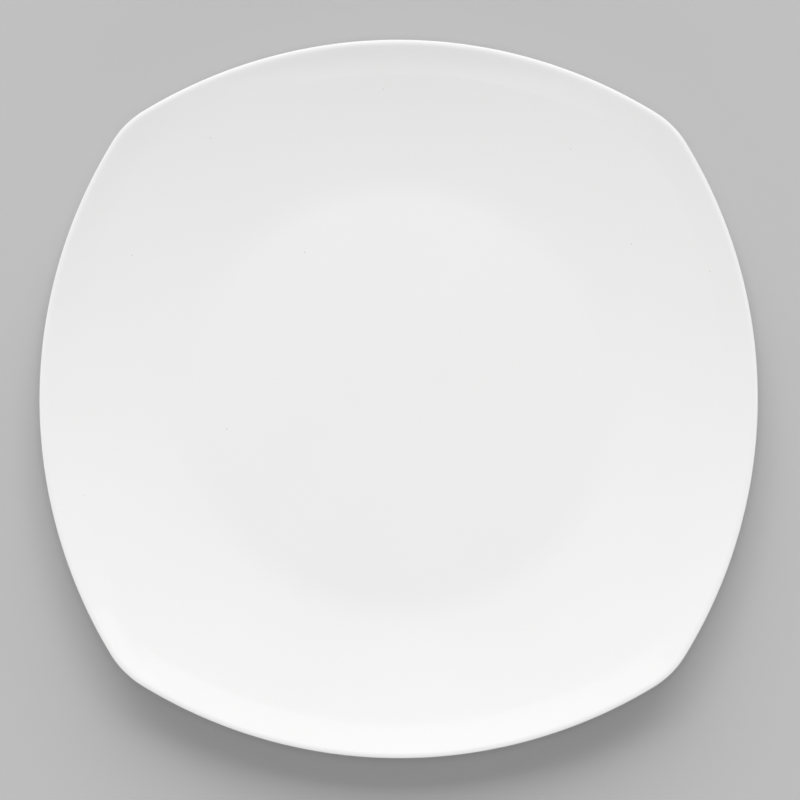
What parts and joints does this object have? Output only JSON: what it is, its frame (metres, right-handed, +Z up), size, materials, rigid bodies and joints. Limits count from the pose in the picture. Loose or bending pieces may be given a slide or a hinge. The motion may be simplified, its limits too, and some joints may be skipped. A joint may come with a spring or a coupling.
{
  "type": "square dinner plate",
  "caption": "Square white porcelain dinner plate with bowed sides, soft corners that rise a little, a round flat well, an upturned rim band and a rounded lip, for serving and eating a meal.",
  "frame": {"origin": "middle of the foot ring's bearing plane, on the table", "axes": "+Z up out of the well, X and Y through the middles of the sides"},
  "size_m": [0.27, 0.27, 0.0217],
  "materials": {
    "porcelain": "bare fired porcelain, fine and matt",
    "glaze": "clear glaze over white, glossy"
  },
  "bodies": {
    "root": {"porcelain_body": "porcelain", "outer_glaze": "glaze", "recess_glaze": "glaze"}
  },
  "joints": []
}
